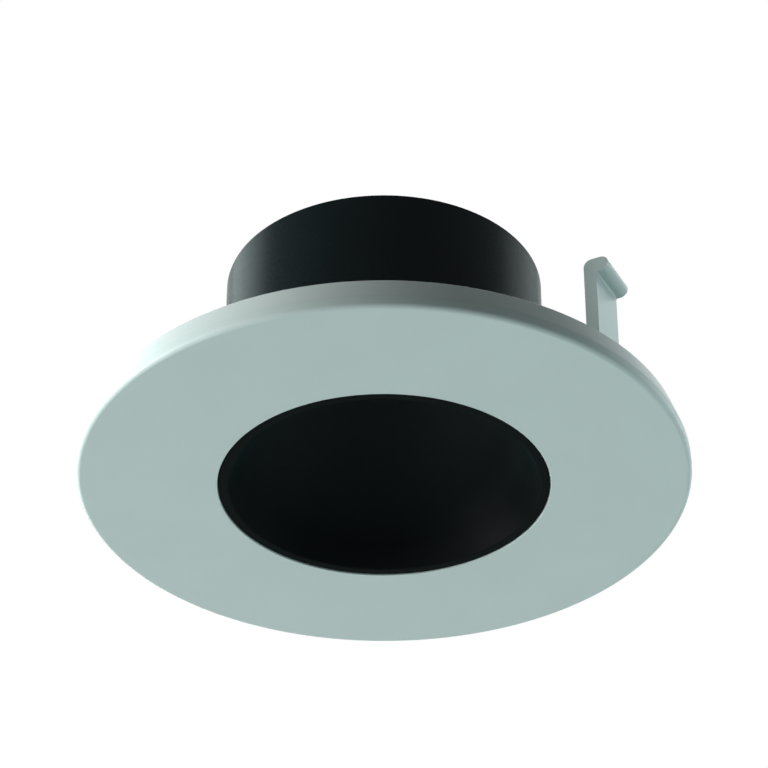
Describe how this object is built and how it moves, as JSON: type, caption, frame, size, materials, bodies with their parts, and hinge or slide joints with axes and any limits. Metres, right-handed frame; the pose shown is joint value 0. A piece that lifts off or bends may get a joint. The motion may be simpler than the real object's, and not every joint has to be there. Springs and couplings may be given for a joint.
{
  "type": "recessed spotlight",
  "caption": "Round recessed spotlight: pale trim ring, deep black baffle, sealed lamp housing with finned rear cover and cable gland, and sprung hooks that grip the edge of a round cut-out.",
  "frame": {"origin": "centre of the trim ring's front face, which points down when the light is in a ceiling", "axes": "+Z along the light's axis, up into the ceiling; -Y is the side nearest the picture's camera; the hook that shows stands 26.8 degrees from +X towards -Y"},
  "size_m": [0.09, 0.09, 0.0476],
  "materials": {
    "ring_paint": "satin",
    "hook_paint": "satin",
    "baffle_black": "fine matt, softly moulded",
    "can_black": "black anodised, satin",
    "cover_black": "black anodised, satin",
    "rubber_black": "matt",
    "gasket_foam": "fine closed-cell foam",
    "clear_glass": "clear, polished",
    "clear_lens": "clear, moulded",
    "zinc_steel": "bright zinc",
    "spring_steel": "drawn wire",
    "white_plastic": "satin",
    "board_white": "white solder mask",
    "phosphor": "soft yellow silicone",
    "pad_grey": "matt",
    "lead_sleeve": "PVC sleeve",
    "gland_black": "fine matt"
  },
  "bodies": {
    "root": {"trim_ring": "ring_paint", "ceiling_gasket": "gasket_foam", "baffle": "baffle_black", "glass_seal": "rubber_black", "front_glass": "clear_glass", "lens_spacer": "white_plastic", "optic_lens": "clear_lens", "lens_snap_ring": "spring_steel", "lamp_housing": "can_black", "housing_screws": "zinc_steel", "led_emitter": "phosphor", "led_board": "board_white", "led_holder": "white_plastic", "holder_screws": "zinc_steel", "thermal_pad": "pad_grey", "led_leads": "lead_sleeve", "terminal_block": "white_plastic", "rear_cover": "cover_black", "rear_seal": "rubber_black", "rear_screws": "zinc_steel", "gland_washer": "rubber_black", "gland_body": "gland_black", "gland_seal": "rubber_black", "gland_nut": "gland_black", "hook_bracket_right": "zinc_steel", "hook_bracket_left": "zinc_steel", "bracket_screws": "zinc_steel", "hook_pin_right": "zinc_steel", "hook_pin_left": "zinc_steel", "hook_spring_right": "spring_steel", "hook_spring_left": "spring_steel"},
    "hook_right": {"hook_right": "hook_paint"},
    "hook_left": {"hook_left": "hook_paint"}
  },
  "joints": [
    {"name": "hook_right_hinge", "type": "hinge", "parent": "root", "child": "hook_right", "pos_m": [0.03035, -0.01533, 0.0076], "axis": [-0.4509, -0.8926, 0], "range_deg": [0, 12], "stiffness_Nm_per_rad": 0.12, "springref_deg": -20.05, "deforming": ["hook_spring_right"]},
    {"name": "hook_left_hinge", "type": "hinge", "parent": "root", "child": "hook_left", "pos_m": [-0.03035, 0.01533, 0.0076], "axis": [0.4509, 0.8926, 0], "range_deg": [0, 12], "stiffness_Nm_per_rad": 0.12, "springref_deg": -20.05, "deforming": ["hook_spring_left"]}
  ]
}
